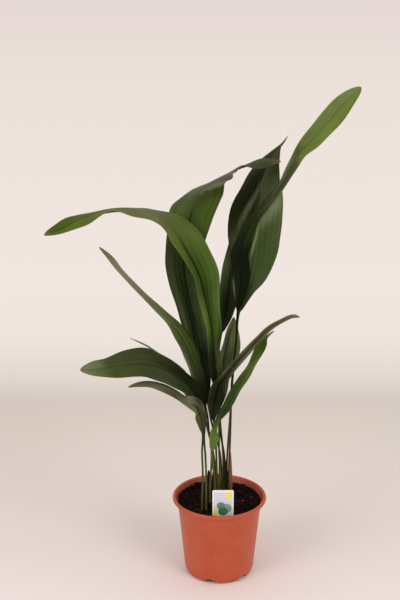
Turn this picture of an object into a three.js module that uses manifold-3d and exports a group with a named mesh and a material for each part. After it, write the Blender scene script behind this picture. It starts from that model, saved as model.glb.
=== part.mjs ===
// A potted cast iron plant: a tapered nursery pot filled with potting mix, a plant label, twelve leaves that
// each rise on their own stalk, and the dry scales and stubs left at the foot of the shoots.
// Millimetres, +Z up. The origin is the centre of the pot's flat underside; the front faces -Y.
import * as THREE from 'three';
import { mergeVertices } from 'three/addons/utils/BufferGeometryUtils.js';
import Module from 'manifold-3d';

const wasm = await Module();
wasm.setup();

// ---- driving dimensions ----
const POT_HEIGHT = 123;
const RIM_RADIUS = 70;
const LIP_WIDTH = 5; // the rolled lip, seen from above
const LIP_HEIGHT = 7;
const LIP_FOOT = POT_HEIGHT - LIP_HEIGHT;
const WALL = 1.8;
const FLOOR = 2.2;
const STACK_STEP = 20; // depth below the rim of the small step on which nested pots rest
const WALL_TOP_RADIUS = 62.5; // outside, under the lip
const WALL_FOOT_RADIUS = 52; // outside, where the foot begins to turn in
const FOOT_RADIUS = 47; // flat ring that the pot stands on
const FOOT_TURN = 9; // height over which the foot turns in
const NOTCHES = 6; // drainage notches round the foot
const NOTCH_TURN = -0.27; // the first notch lies a little left of the front
const NOTCH_WIDTH = 20;
const NOTCH_HEIGHT = 8;
const NOTCH_DEPTH = 8; // how far each one reaches in under the pot
const POT_SIDES = 48;

const GAP = 0.3; // clearance between pieces that touch
const SOIL_TOP = 110;
const SOIL_SWELL = 2.2; // how far the soil's surface rises and falls
const SOIL_SLOPE = { x: -0.015, y: 0.005 }; // it lies a little higher at the left and at the back
const SOIL_BANK = 5.5; // how much higher it lies along the pot's wall than round the stalks
const LABEL_DEPTH = 30; // how deep the label stands in the soil
const SOIL_SIDES = 40;
const SOIL_RINGS = 7;

const STALK_RADIUS = 1.5;
const HOLE_RADIUS = STALK_RADIUS + 0.5; // of the hole that each stalk stands in
const BLADE_THICKNESS = 0.8;
const RIB_THICKNESS = 1.8;
const BASE_TAPER = 1.1; // how slowly a blade opens from its stalk
const STRIPS = 3; // flat strips in each half of a blade
const BLADE_STEP = 24; // greatest length of blade between two sections
const STALK_STEP = 40; // the same on a stalk
const SIGHT = new THREE.Vector3(0, 0.94, -0.34).normalize(); // from the front, a little from above

const LABEL = {
  x: 4.5,
  y: -50,
  width: 31,
  top: 156,
  shoulder: 116, // height at which the tag begins to narrow to its spike
  thickness: 0.9,
  corner: 2,
  spike: 9,
};

// ---- finishes, one for each kind of surface ----
const finish = (color, roughness) => new THREE.MeshStandardMaterial({ color, roughness, metalness: 0 });

const TERRACOTTA_PLASTIC = finish(0xb5624a, 0.5);
const POTTING_MIX = finish(0x2c211c, 0.95);
const TAG_PLASTIC = finish(0xefeadb, 0.45);
const LEAF_GREEN = finish(0x2f4a1e, 0.4);
const LEAF_BRIGHT = finish(0x4c6b26, 0.4);
const LEAF_OLIVE = finish(0x566138, 0.45);
const DRY_PALE = finish(0x8f7458, 0.8);
const DRY_DARK = finish(0x2f2317, 0.9);

// ---- leaves ----
// stalk and rib are points on the middle line, from the foot in the soil up to the blade and on to its tip.
// half is the blade's greatest half width, widest is where along the blade it lies, and a smaller tip number
// makes a blunter tip. tilt gives, at each rib point, how many degrees the left and the right half are turned
// out of the plane that faces the front: positive brings that margin forward. slant, where a blade is creased
// askew, gives how far the left margin falls behind there and the right one runs ahead, as shares of the width.
const LEAVES = [
  {
    name: 'leaf_arching_left',
    material: LEAF_BRIGHT,
    half: 31, widest: 0.45, tip: 0.6,
    stalk: [
      [0, 0, 82], [0, 0, 113], [0, 0, 136], [0, 0, 172], [-1, 0, 205],
      [-1, 0, 237],
    ],
    rib: [
      [-2, -1, 269], [-5, -4, 318], [-10, -8, 365], [-15, -12, 402],
      [-23, -16, 439], [-31, -20, 473], [-47, -26, 508], [-70, -36, 549],
      [-96, -46, 569], [-123, -55, 576], [-152, -64, 577], [-188, -76, 569],
      [-214, -84, 558], [-235, -90, 552],
    ],
    tilt: [
      [25, 35], [25, 35], [65, 65], [75, 55], [75, 50], [75, 25],
      [75, 10], [65, -55], [70, -75], [65, -75], [85, -75], [45, -55],
      [45, 0], [45, 0],
    ],
  },
  {
    name: 'leaf_tall_right',
    material: LEAF_GREEN,
    half: 29, widest: 0.42, tip: 0.53,
    stalk: [
      [14, 1, 82], [14, 1, 113], [14, 1, 135], [14, 1, 163], [15, 1, 196],
      [16, 1, 245], [17, 1, 300], [20, 1, 339], [23, 1, 370],
    ],
    rib: [
      [24, 0, 404], [27, -3, 447], [28, -6, 477], [27, -9, 504],
      [43, -14, 549], [56, -17, 569], [81, -22, 607], [104, -27, 647],
      [124, -30, 670], [146, -34, 697], [164, -38, 721], [182, -42, 739],
    ],
    tilt: [
      [30, 0], [30, 0], [45, -40], [60, -55], [75, -75], [80, -75],
      [87, -72], [76, -68], [58, -57], [35, -38], [0, -15], [0, -15],
    ],
  },
  {
    name: 'leaf_broad_back',
    material: LEAF_GREEN,
    half: 39, widest: 0.5, tip: 0.75,
    stalk: [
      [11, 11, 82], [11, 11, 113], [11, 11, 130], [11, 11, 158], [12, 11, 191],
      [15, 11, 240], [18, 11, 296], [21, 11, 335], [24, 12, 366],
    ],
    rib: [
      [26, 13, 402], [37, 16, 440], [42, 18, 462], [46, 21, 491],
      [48, 24, 520], [50, 27, 548], [54, 30, 576], [58, 32, 601],
      [66, 34, 621], [75, 35, 636], [85, 36, 649], [93, 37, 660],
    ],
    tilt: [
      [35, 35], [35, 50], [-10, 15], [-15, 5], [-5, 20], [-12, 15],
      [-38, 18], [-50, 28], [-62, 40], [-72, 55], [-85, 85], [-85, 85],
    ],
  },
  {
    name: 'leaf_folded_left',
    material: LEAF_GREEN,
    half: 34, widest: 0.5, tip: 0.6,
    stalk: [
      [4, 3, 82], [4, 3, 113], [4, 3, 134], [3, 3, 162], [1, 4, 187],
      [-4, 4, 211], [-10, 5, 231],
    ],
    rib: [
      [-15, 8, 254], [-20, 14, 283], [-25, 22, 318], [-35, 31, 381],
      [-46, 32, 427], [-52, 29, 467], [-50, 21, 508], [-42, 10, 550],
      [-35, 4, 571], [-25, 0, 592], [-10, 4, 602], [7, 10, 610],
      [30, 14, 621], [55, 10, 626], [82, 7, 630],
    ],
    tilt: [
      [0, 0], [0, 0], [15, 30], [40, 50], [50, 45], [45, 35],
      [40, 40], [30, 15], [-22, 0], [-60, 48], [-80, 74], [-85, 78],
      [-85, 86], [-48, 50], [-50, 50],
    ],
    slant: [
      [0, 0], [0, 0], [0, 0], [0, 0], [0, 0], [0, 0],
      [0.1, 0.1], [0.25, 0.4], [0.55, 1], [0.65, 1.25], [0.5, 0.93], [0.4, 0.5],
      [0.1, 0.1], [0, 0], [0, 0],
    ],
  },
  {
    name: 'leaf_narrow_left',
    material: LEAF_OLIVE,
    half: 14, widest: 0.35, tip: 0.6,
    stalk: [
      [-14, -1, 82], [-14, -1, 113], [-14, -1, 133], [-13, -1, 156], [-12, 0, 177],
      [-12, 1, 193], [-13, 2, 210], [-16, 3, 227],
    ],
    rib: [
      [-18, 4, 249], [-26, 6, 286], [-35, 6, 323], [-46, 3, 356],
      [-59, -2, 382], [-73, -6, 403], [-106, -11, 440], [-138, -17, 478],
      [-154, -20, 500], [-168, -23, 516],
    ],
    tilt: [
      [0, 0], [0, 0], [40, -35], [45, -40], [50, -45], [65, -60],
      [70, -70], [65, -65], [45, -40], [45, -40],
    ],
  },
  {
    name: 'leaf_broad_low_left',
    material: LEAF_GREEN,
    half: 27, widest: 0.6, tip: 0.6,
    stalk: [
      [-20, -26, 82], [-20, -26, 113], [-20, -24, 126], [-20, -15, 166], [-21, -9, 190],
      [-23, -5, 219],
    ],
    rib: [
      [-22, -3, 240], [-26, -6, 267], [-35, -12, 288], [-49, -21, 311],
      [-66, -31, 329], [-85, -42, 344], [-106, -52, 354], [-126, -61, 358],
      [-153, -73, 358], [-175, -82, 358], [-193, -90, 360],
    ],
    tilt: [
      [30, 30], [30, 30], [35, -25], [55, -50], [55, -50], [50, -45],
      [50, -35], [45, -40], [40, -50], [45, -35], [45, -35],
    ],
  },
  {
    name: 'leaf_small_low_left',
    material: LEAF_OLIVE,
    half: 12, widest: 0.35, tip: 0.6,
    stalk: [
      [-26, -28, 82], [-26, -28, 113], [-26, -27, 121], [-25, -20, 170], [-26, -17, 203],
    ],
    rib: [
      [-25, -15, 223], [-26, -19, 241], [-28, -24, 259], [-33, -33, 277],
      [-45, -53, 296], [-63, -59, 311], [-78, -62, 321], [-99, -63, 328],
      [-115, -67, 329], [-129, -73, 328],
    ],
    tilt: [
      [45, 0], [45, 0], [40, 0], [55, 40], [60, -60], [65, -60],
      [55, -55], [55, -50], [50, -40], [50, -40],
    ],
  },
  {
    name: 'leaf_arching_right',
    material: LEAF_OLIVE,
    half: 14, widest: 0.25, tip: 0.6,
    stalk: [
      [-2, -7, 82], [-2, -7, 113], [-2, -7, 139], [-4, -7, 167], [-5, -7, 192],
      [-6, -7, 216],
    ],
    rib: [
      [-8, -8, 241], [-10, -9, 260], [-7, -10, 281], [-2, -12, 304],
      [7, -14, 320], [27, -17, 347], [39, -19, 362], [55, -21, 381],
      [68, -23, 396], [85, -25, 408], [101, -27, 416], [111, -28, 415],
    ],
    tilt: [
      [40, 30], [40, 30], [35, 10], [45, 45], [65, 60], [65, 65],
      [65, 65], [65, 65], [65, 65], [65, 65], [55, 50], [55, 50],
    ],
  },
  {
    name: 'leaf_bright_right',
    material: LEAF_BRIGHT,
    half: 14, widest: 0.35, tip: 0.45,
    stalk: [
      [-7, -14, 82], [-7, -14, 113], [-7, -14, 143], [-8, -14, 164], [-10, -15, 178],
    ],
    rib: [
      [-11, -16, 191], [-11, -18, 207], [-9, -20, 222], [-6, -22, 236],
      [-2, -23, 249], [4, -23, 265], [12, -23, 280], [22, -24, 301],
      [33, -26, 321], [45, -28, 343], [58, -31, 373], [64, -32, 385],
      [75, -33, 396],
    ],
    tilt: [
      [150, -150], [150, -150], [145, -145], [120, -125], [66, -92], [60, -60],
      [60, -60], [55, -60], [55, -55], [60, -60], [35, -35], [70, -70],
      [70, -70],
    ],
  },
  {
    name: 'leaf_olive_back',
    material: LEAF_OLIVE,
    half: 24, widest: 0.52, tip: 0.75,
    stalk: [
      [6, 10, 82], [6, 10, 113], [6, 10, 131], [6, 11, 158], [5, 13, 190],
      [2, 16, 222],
    ],
    rib: [
      [0, 19, 249], [0, 21, 271], [2, 24, 298], [5, 26, 326],
      [10, 28, 349], [14, 29, 367], [18, 30, 382], [20, 31, 394],
    ],
    tilt: [
      [-25, -25], [-25, -25], [-65, -50], [-72, -36], [-72, -18], [-68, -12],
      [-60, -30], [-60, -30],
    ],
  },
  {
    name: 'leaf_dark_middle',
    material: LEAF_GREEN,
    half: 19, widest: 0.35, tip: 0.6,
    stalk: [
      [9, 5, 82], [9, 5, 113], [9, 5, 133], [8, 6, 161], [7, 8, 185],
      [3, 10, 208], [-2, 12, 240], [-5, 13, 271], [-3, 15, 333], [-1, 17, 355],
    ],
    rib: [
      [1, 19, 368], [5, 23, 389], [9, 26, 407], [12, 30, 428],
      [16, 36, 456], [21, 42, 485], [28, 47, 513], [35, 51, 537],
      [40, 53, 551],
    ],
    tilt: [
      [30, 30], [30, 30], [50, 45], [45, 40], [38, 30], [36, 15],
      [25, 0], [0, 0], [0, 0],
    ],
  },
  {
    name: 'leaf_hidden_left',
    material: LEAF_GREEN,
    half: 7, widest: 0.35, tip: 0.8,
    stalk: [
      [-4, 7, 82], [-4, 7, 113], [-4, 7, 132], [-6, 7, 160], [-10, 8, 193],
      [-17, 8, 223],
    ],
    rib: [
      [-22, 6, 247], [-33, 1, 277], [-43, -4, 300], [-55, -8, 322],
      [-75, -9, 341], [-89, -6, 352], [-103, -9, 364], [-116, -14, 373],
      [-128, -20, 381],
    ],
    tilt: [
      [0, 0], [0, 0], [35, -35], [30, -30], [40, -40], [75, -75],
      [75, -75], [70, -70], [70, -70],
    ],
  },
];

// The dry scales and stubs at the foot of the shoots have the same form, much smaller.
const DRY_PIECES = [
  {
    name: 'sheath_pale',
    material: DRY_PALE,
    half: 2.4, widest: 0.3, tip: 0.6,
    stalk: [[17.5, -4.5, 84], [17.5, -4.5, 112]],
    rib: [[17.5, -4.5, 118], [17, -5, 143], [16.5, -5, 168], [16.5, -4, 194]],
    tilt: [[40, 40], [50, 45], [45, 40], [40, 40]],
  },
  {
    name: 'sheath_dark',
    material: DRY_DARK,
    half: 3, widest: 0.4, tip: 0.6,
    stalk: [[11, -4, 84], [11, -4, 112]],
    rib: [[11, -4, 118], [10.5, -4, 140], [10, -4, 164], [10, -4, 184]],
    tilt: [[-30, -30], [-40, -30], [-30, -30], [-30, -30]],
  },
  {
    name: 'stub_left',
    material: DRY_DARK,
    half: 2.4, widest: 0.5, tip: 0.25,
    stalk: [[-17, 6, 84], [-17, 6, 112]],
    rib: [[-17, 6, 118], [-17, 6, 132], [-16, 7, 146], [-16, 7, 160]],
    tilt: [[25, 25], [25, 25], [20, 20], [20, 20]],
  },
  {
    name: 'stub_right',
    material: DRY_DARK,
    half: 2.2, widest: 0.5, tip: 0.25,
    stalk: [[-10, 8, 84], [-10, 8, 112]],
    rib: [[-10, 8, 118], [-10, 8, 130], [-9, 9, 144], [-9, 9, 157]],
    tilt: [[25, 25], [25, 25], [20, 20], [20, 20]],
  },
];

const points = (list) => list.map(([x, y, z]) => new THREE.Vector3(x, y, z));

// Half width of a lance-shaped blade, t running from 0 at its base to 1 at its tip.
function halfWidth({ half, widest, tip }, t) {
  if (t <= widest) return half * Math.sin((Math.PI / 2) * (t / widest)) ** BASE_TAPER;
  return half * Math.max(0, Math.cos((Math.PI / 2) * ((t - widest) / (1 - widest)))) ** tip;
}

// One ring of the loft: across the top from the left margin to the right one, and back along the underside.
// x points to the right, y to the front and z along the middle line. opened is 0 on the round stalk and 1 on
// the blade. The rib's keel stands out under the blade, except where the blade is folded to the back.
function section(width, left, right, lag, lead, opened) {
  const keel = (RIB_THICKNESS - BLADE_THICKNESS) * THREE.MathUtils.smoothstep(left + right, -1, 0);
  const count = 2 * STRIPS + 1;
  const normalRight = new THREE.Vector3(-Math.sin(right), Math.cos(right), 0);
  const normalLeft = new THREE.Vector3(Math.sin(left), Math.cos(left), 0);
  const normalRib = normalRight.clone().add(normalLeft).normalize();
  const top = [];
  const under = [];
  for (let i = 0; i < count; i++) {
    const reach = (width * (i - STRIPS)) / STRIPS;
    const outward = reach > 0 ? new THREE.Vector3(Math.cos(right), Math.sin(right), lead)
      : new THREE.Vector3(Math.cos(left), -Math.sin(left), lag);
    const flat = outward.multiplyScalar(reach);
    const normal = reach > 0 ? normalRight : reach < 0 ? normalLeft : normalRib;
    const below = BLADE_THICKNESS / 2 + (reach === 0 ? keel : 0);
    const angle = Math.PI * (1 - (i + 0.5) / count);
    const round = new THREE.Vector3(Math.cos(angle), Math.sin(angle), 0).multiplyScalar(STALK_RADIUS);
    const roundUnder = new THREE.Vector3(round.x, -round.y, 0);
    top.push(round.lerp(flat.clone().addScaledVector(normal, BLADE_THICKNESS / 2), opened));
    under.unshift(roundUnder.lerp(flat.clone().addScaledVector(normal, -below), opened));
  }
  return [...top, ...under];
}

// Opens the fold between the two halves, by how much of it is kept, and leaves the blade turned as it was.
function flattened(left, right, kept) {
  const turn = (right - left) / 2;
  const fold = ((left + right) / 2) * kept;
  return [fold - turn, fold + turn];
}

// Length of blade up to each rib point, as a share of the whole blade.
function ribShares(rib) {
  const reach = [0];
  for (let i = 1; i < rib.length; i++) reach.push(reach.at(-1) + rib[i].distanceTo(rib[i - 1]));
  return reach.map((length) => length / reach.at(-1));
}

// The rings of a leaf, one after another along its middle line.
function leafRings(leaf) {
  const rib = points(leaf.rib);
  const route = [...points(leaf.stalk), ...rib];
  const curve = new THREE.CatmullRomCurve3(route, false, 'centripetal');
  const shares = ribShares(rib);
  const last = route.length - 1;
  const places = [];
  for (let i = 0; i < last; i++) {
    const step = i < leaf.stalk.length ? STALK_STEP : BLADE_STEP;
    const count = Math.ceil(route[i].distanceTo(route[i + 1]) / step);
    for (let j = 0; j < count; j++) places.push(i + j / count);
  }
  places.push(last);

  return places.map((place) => {
    const alongRib = Math.max(0, place - leaf.stalk.length);
    const k = Math.min(Math.floor(alongRib), rib.length - 2);
    const blend = (from, to) => THREE.MathUtils.lerp(from, to, alongRib - k);
    const t = blend(shares[k], shares[k + 1]);
    const width = halfWidth(leaf, t);
    const [left, right] = flattened(
      THREE.MathUtils.degToRad(blend(leaf.tilt[k][0], leaf.tilt[k + 1][0])),
      THREE.MathUtils.degToRad(blend(leaf.tilt[k][1], leaf.tilt[k + 1][1])),
      THREE.MathUtils.smoothstep(width, BLADE_THICKNESS, 5 * BLADE_THICKNESS),
    );
    const [lag, lead] = leaf.slant
      ? [0, 1].map((side) => blend(leaf.slant[k][side], leaf.slant[k + 1][side])) : [0, 0];
    const opened = t > leaf.widest ? 1 : THREE.MathUtils.smoothstep(width, STALK_RADIUS, 3 * STALK_RADIUS);
    const tangent = curve.getTangent(place / last);
    const across = SIGHT.clone().cross(tangent).normalize();
    const forward = across.clone().cross(tangent);
    const centre = curve.getPoint(place / last);
    return section(Math.max(width, BLADE_THICKNESS), left, right, lag, lead, opened).map(({ x, y, z }) => (
      centre.clone().addScaledVector(across, x).addScaledVector(forward, y).addScaledVector(tangent, z)
    ));
  });
}

// Joins rings into one closed body. The two faces of a thin blade are split along the same diagonals.
function loft(rings) {
  const size = rings[0].length;
  const index = [];
  for (let j = 0; j < rings.length - 1; j++) {
    for (let i = 0; i < size; i++) {
      const a = j * size + i;
      const b = j * size + ((i + 1) % size);
      if (i < size / 2) index.push(a, b, b + size, a, b + size, a + size);
      else index.push(a, b, a + size, b, b + size, a + size);
    }
  }
  const tip = (rings.length - 1) * size;
  for (let i = 0; i < size / 2 - 1; i++) {
    const j = size - 1 - i;
    index.push(i, j, i + 1, i + 1, j, j - 1);
    index.push(tip + i, tip + i + 1, tip + j, tip + i + 1, tip + j - 1, tip + j);
  }
  return bodyOf(rings.flat(), index);
}

// ---- solids ----
function bodyOf(corners, index) {
  const geometry = new THREE.BufferGeometry();
  geometry.setFromPoints(corners);
  geometry.setIndex(index);
  return geometry;
}

function toSolid(geometry) {
  const bare = geometry.clone();
  bare.deleteAttribute('normal');
  bare.deleteAttribute('uv');
  const merged = mergeVertices(bare, 1e-4);
  const index = merged.index.array;
  const kept = [];
  for (let i = 0; i < index.length; i += 3) {
    const [a, b, c] = index.slice(i, i + 3);
    if (a !== b && b !== c && c !== a) kept.push(a, b, c);
  }
  const vertProperties = new Float32Array(merged.attributes.position.array);
  return new wasm.Manifold(new wasm.Mesh({ numProp: 3, vertProperties, triVerts: new Uint32Array(kept) }));
}

function toGeometry(manifold) {
  const mesh = manifold.getMesh();
  const geometry = new THREE.BufferGeometry();
  geometry.setAttribute('position', new THREE.BufferAttribute(mesh.vertProperties, 3));
  geometry.setIndex(new THREE.BufferAttribute(mesh.triVerts, 1));
  return geometry;
}

// ---- pot ----
function turned(profile, sides) {
  const lathe = new THREE.LatheGeometry(profile.map(([r, z]) => new THREE.Vector2(r, z)), sides);
  return lathe.rotateX(Math.PI / 2);
}

function potGeometry() {
  const stackStep = POT_HEIGHT - STACK_STEP;
  const inside = RIM_RADIUS - LIP_WIDTH;
  let pot = toSolid(turned([
    [0, 0],
    [FOOT_RADIUS, 0],
    [FOOT_RADIUS + 2.2, 1.4],
    [FOOT_RADIUS + 4, 4.5],
    [WALL_FOOT_RADIUS, FOOT_TURN],
    [WALL_TOP_RADIUS - 1.3, stackStep],
    [WALL_TOP_RADIUS - 0.6, stackStep + 0.8],
    [WALL_TOP_RADIUS, LIP_FOOT - 3.5],
    [WALL_TOP_RADIUS + 1.6, LIP_FOOT - 1],
    [WALL_TOP_RADIUS + 5, LIP_FOOT + 0.4],
    [RIM_RADIUS - 1.6, LIP_FOOT + 1],
    [RIM_RADIUS - 0.3, LIP_FOOT + 2.4],
    [RIM_RADIUS, POT_HEIGHT - 2.6],
    [RIM_RADIUS - 0.9, POT_HEIGHT - 0.8],
    [RIM_RADIUS - 2.6, POT_HEIGHT],
    [inside + 1.6, POT_HEIGHT - 0.2],
    [inside + 0.1, POT_HEIGHT - 1.4],
    [inside - 0.8, LIP_FOOT + 2],
    [WALL_TOP_RADIUS - WALL + 1.7, LIP_FOOT],
    [WALL_TOP_RADIUS - WALL, LIP_FOOT - 3],
    [WALL_FOOT_RADIUS - WALL, FOOT_TURN],
    [FOOT_RADIUS, FLOOR],
    [0, FLOOR],
  ], POT_SIDES));
  const arch = new THREE.Shape();
  arch.moveTo(-NOTCH_WIDTH / 2, -FLOOR);
  arch.lineTo(NOTCH_WIDTH / 2, -FLOOR);
  arch.lineTo(NOTCH_WIDTH / 2, 0);
  arch.absellipse(0, 0, NOTCH_WIDTH / 2, NOTCH_HEIGHT, 0, Math.PI, false);
  for (let i = 0; i < NOTCHES; i++) {
    const options = { depth: RIM_RADIUS, bevelEnabled: false, curveSegments: 8 };
    const notch = new THREE.ExtrudeGeometry(arch, options);
    notch.rotateX(Math.PI / 2);
    notch.translate(0, NOTCH_DEPTH - FOOT_RADIUS, 0);
    notch.rotateZ(NOTCH_TURN + (i * 2 * Math.PI) / NOTCHES);
    pot = pot.subtract(toSolid(notch));
  }
  return toGeometry(pot);
}

// ---- soil ----
// The surface slopes a little, is banked up along the pot's wall and is lumpy all over.
function soilHeight(x, y) {
  const lumps = Math.sin(x / 4.1 + 1) * Math.cos(y / 5.3) + 0.6 * Math.sin(x / 2.3 - y / 3.1);
  const bank = SOIL_BANK * THREE.MathUtils.smoothstep(Math.hypot(x, y), WALL_TOP_RADIUS / 2, WALL_TOP_RADIUS);
  return SOIL_TOP + SOIL_SLOPE.x * x + SOIL_SLOPE.y * y + bank + (SOIL_SWELL / 2) * lumps;
}

function soilGeometry() {
  const rings = [];
  const floorZ = FLOOR + GAP;
  const ring = (radius, height) => Array.from({ length: SOIL_SIDES }, (_, i) => {
    const a = (i * 2 * Math.PI) / SOIL_SIDES;
    const x = radius * Math.cos(a);
    const y = radius * Math.sin(a);
    return new THREE.Vector3(x, y, height(x, y));
  });
  const edge = WALL_TOP_RADIUS - WALL - 2 * GAP;
  rings.push(ring(FOOT_RADIUS - 3, () => floorZ));
  rings.push(ring(WALL_FOOT_RADIUS - WALL - 2 * GAP, () => FOOT_TURN));
  rings.push(ring(WALL_TOP_RADIUS - WALL - 2 * GAP, () => LIP_FOOT - 4));
  for (let i = SOIL_RINGS; i > 0; i--) {
    rings.push(ring((edge * i) / SOIL_RINGS, (x, y) => soilHeight(x, y)));
  }
  const corners = rings.flat();
  const index = [];
  for (let j = 0; j < rings.length - 1; j++) {
    for (let i = 0; i < SOIL_SIDES; i++) {
      const a = j * SOIL_SIDES + i;
      const b = j * SOIL_SIDES + ((i + 1) % SOIL_SIDES);
      index.push(a, b, b + SOIL_SIDES, a, b + SOIL_SIDES, a + SOIL_SIDES);
    }
  }
  const lastRing = (rings.length - 1) * SOIL_SIDES;
  const centre = corners.length;
  corners.push(new THREE.Vector3(0, 0, floorZ), new THREE.Vector3(0, 0, soilHeight(0, 0)));
  for (let i = 0; i < SOIL_SIDES; i++) {
    const next = (i + 1) % SOIL_SIDES;
    index.push(centre, next, i, centre + 1, lastRing + i, lastRing + next);
  }
  let soil = toSolid(bodyOf(corners, index));
  for (const { stalk: [[x, y, z]] } of [...LEAVES, ...DRY_PIECES]) {
    const bottom = z - GAP;
    const hole = new THREE.CylinderGeometry(HOLE_RADIUS, HOLE_RADIUS, POT_HEIGHT - bottom, 10);
    hole.rotateX(Math.PI / 2).translate(x, y, (POT_HEIGHT + bottom) / 2);
    soil = soil.subtract(toSolid(hole));
  }
  return toGeometry(soil.subtract(toSolid(labelGeometry(GAP))));
}

// ---- plant label ----
// A flat tag with round shoulders that narrows to a spike; grow makes the slot that it stands in.
function labelGeometry(grow = 0) {
  const { x, y, width, top, shoulder, thickness, corner, spike } = LABEL;
  const w = width / 2 + grow;
  const foot = SOIL_TOP - LABEL_DEPTH - grow;
  const tag = new THREE.Shape();
  tag.moveTo(-spike / 2 - grow, foot);
  tag.lineTo(spike / 2 + grow, foot);
  tag.lineTo(w, shoulder);
  tag.lineTo(w, top - corner);
  tag.absarc(w - corner, top - corner, corner, 0, Math.PI / 2, false);
  tag.absarc(corner - w, top - corner, corner, Math.PI / 2, Math.PI, false);
  tag.lineTo(-w, shoulder);
  const depth = thickness + 2 * grow;
  const geometry = new THREE.ExtrudeGeometry(tag, { depth, bevelEnabled: false, curveSegments: 5 });
  return geometry.translate(0, 0, -depth / 2).rotateX(Math.PI / 2).translate(x, y, 0);
}

// ---- assembly ----
const group = new THREE.Group();

function add(name, geometry, material) {
  const mesh = new THREE.Mesh(geometry, material);
  mesh.name = name;
  group.add(mesh);
}

add('pot', potGeometry(), TERRACOTTA_PLASTIC);
add('soil', soilGeometry(), POTTING_MIX);
add('label', toGeometry(toSolid(labelGeometry())), TAG_PLASTIC);
for (const leaf of LEAVES) add(leaf.name, loft(leafRings(leaf)), leaf.material);
for (const piece of DRY_PIECES) add(piece.name, loft(leafRings(piece)), piece.material);

export default group;
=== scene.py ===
import math
import random

import bpy
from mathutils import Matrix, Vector, noise


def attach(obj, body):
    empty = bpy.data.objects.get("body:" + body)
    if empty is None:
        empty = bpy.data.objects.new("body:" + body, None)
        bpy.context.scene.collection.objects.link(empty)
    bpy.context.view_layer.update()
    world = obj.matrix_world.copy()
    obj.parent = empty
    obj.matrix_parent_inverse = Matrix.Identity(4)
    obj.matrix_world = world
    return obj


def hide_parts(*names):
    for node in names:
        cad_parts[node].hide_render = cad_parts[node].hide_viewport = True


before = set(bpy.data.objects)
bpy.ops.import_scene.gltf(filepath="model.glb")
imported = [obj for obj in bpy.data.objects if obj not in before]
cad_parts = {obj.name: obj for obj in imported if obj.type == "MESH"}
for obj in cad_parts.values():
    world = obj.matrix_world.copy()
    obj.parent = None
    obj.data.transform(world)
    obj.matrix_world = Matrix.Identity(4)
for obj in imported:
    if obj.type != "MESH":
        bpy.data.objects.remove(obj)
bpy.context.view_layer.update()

# ---- Pot ----
# A round tapered nursery pot in terracotta-coloured polypropylene, moulded in one piece. Its wall is drawn
# up from the foot ring by ring, over the rolled lip and down inside to the floor, and the drainage notches
# are then cut through the foot.
MM = 0.001
POT_HEIGHT = 123
RIM_RADIUS = 70
LIP_WIDTH = 5
LIP_FOOT = POT_HEIGHT - 7
WALL = 1.8
POT_FLOOR = 2.2
STACK_STEP = POT_HEIGHT - 20
WALL_TOP_RADIUS = 62.5
WALL_FOOT_RADIUS = 52
FOOT_RADIUS = 47
FOOT_RING = 9  # flat part of the foot and of the floor that the profile draws; a filled disc closes the rest
FOOT_TURN = 9
POT_SIDES = 96
NOTCHES = 6
NOTCH_TURN = -0.27
NOTCH_WIDTH = 20
NOTCH_HEIGHT = 8
NOTCH_DEPTH = 8
NOTCH_REACH = 30  # length of the round bar that cuts each notch
NOTCH_SIDES = 40
POT_PROFILE = [
    (FOOT_RADIUS - FOOT_RING, 0), (FOOT_RADIUS, 0),
    (FOOT_RADIUS + 2.2, 1.4), (FOOT_RADIUS + 4, 4.5),
    (WALL_FOOT_RADIUS, FOOT_TURN), (WALL_FOOT_RADIUS + 0.5, FOOT_TURN + 5),
    (WALL_TOP_RADIUS - 1.4, STACK_STEP - 1.2), (WALL_TOP_RADIUS - 1.3, STACK_STEP),
    (WALL_TOP_RADIUS - 0.5, STACK_STEP + 0.5), (WALL_TOP_RADIUS - 0.4, STACK_STEP + 2),
    (WALL_TOP_RADIUS, LIP_FOOT - 3.5), (WALL_TOP_RADIUS + 1.6, LIP_FOOT - 1),
    (WALL_TOP_RADIUS + 5, LIP_FOOT + 0.4), (RIM_RADIUS - 1.6, LIP_FOOT + 1),
    (RIM_RADIUS + 0.1, LIP_FOOT + 2.4), (RIM_RADIUS + 0.1, POT_HEIGHT - 2.6),
    (RIM_RADIUS - 0.7, POT_HEIGHT - 0.6), (RIM_RADIUS - 2.6, POT_HEIGHT + 0.1),
    (RIM_RADIUS - LIP_WIDTH + 1.6, POT_HEIGHT - 0.1), (RIM_RADIUS - LIP_WIDTH + 0.1, POT_HEIGHT - 1.4),
    (RIM_RADIUS - LIP_WIDTH - 0.6, LIP_FOOT + 2.2), (WALL_TOP_RADIUS - WALL + 1.9, LIP_FOOT + 0.3),
    (WALL_TOP_RADIUS - WALL + 0.1, LIP_FOOT - 2.6), (WALL_TOP_RADIUS - WALL - 0.1, LIP_FOOT - 6),
    (WALL_FOOT_RADIUS - WALL, FOOT_TURN),
    (FOOT_RADIUS, POT_FLOOR), (FOOT_RADIUS - FOOT_RING, POT_FLOOR),
]


def start_piece(name, add_primitive, stretch=(1, 1, 1), **options):
    """Adds one primitive with nothing else selected, stretches it along its own axes, and names it."""
    bpy.ops.object.select_all(action="DESELECT")
    add_primitive(**options)
    piece = bpy.context.object
    piece.name = name
    piece.data.name = name
    piece.scale = stretch
    bpy.ops.object.transform_apply(location=True, rotation=True, scale=True)
    return piece


def take(piece):
    """Makes the piece the only selected and the active object."""
    bpy.ops.object.select_all(action="DESELECT")
    piece.select_set(True)
    bpy.context.view_layer.objects.active = piece


def draw_rings(profile):
    """From the filled ring that is selected in edit mode, draws the other rings of a turned body."""
    for (radius, height), (next_radius, next_height) in zip(profile, profile[1:]):
        rise = (0, 0, (next_height - height) * MM)
        bpy.ops.mesh.extrude_region_move(TRANSFORM_OT_translate={"value": rise})
        bpy.ops.transform.resize(value=(next_radius / radius, next_radius / radius, 1))


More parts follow.
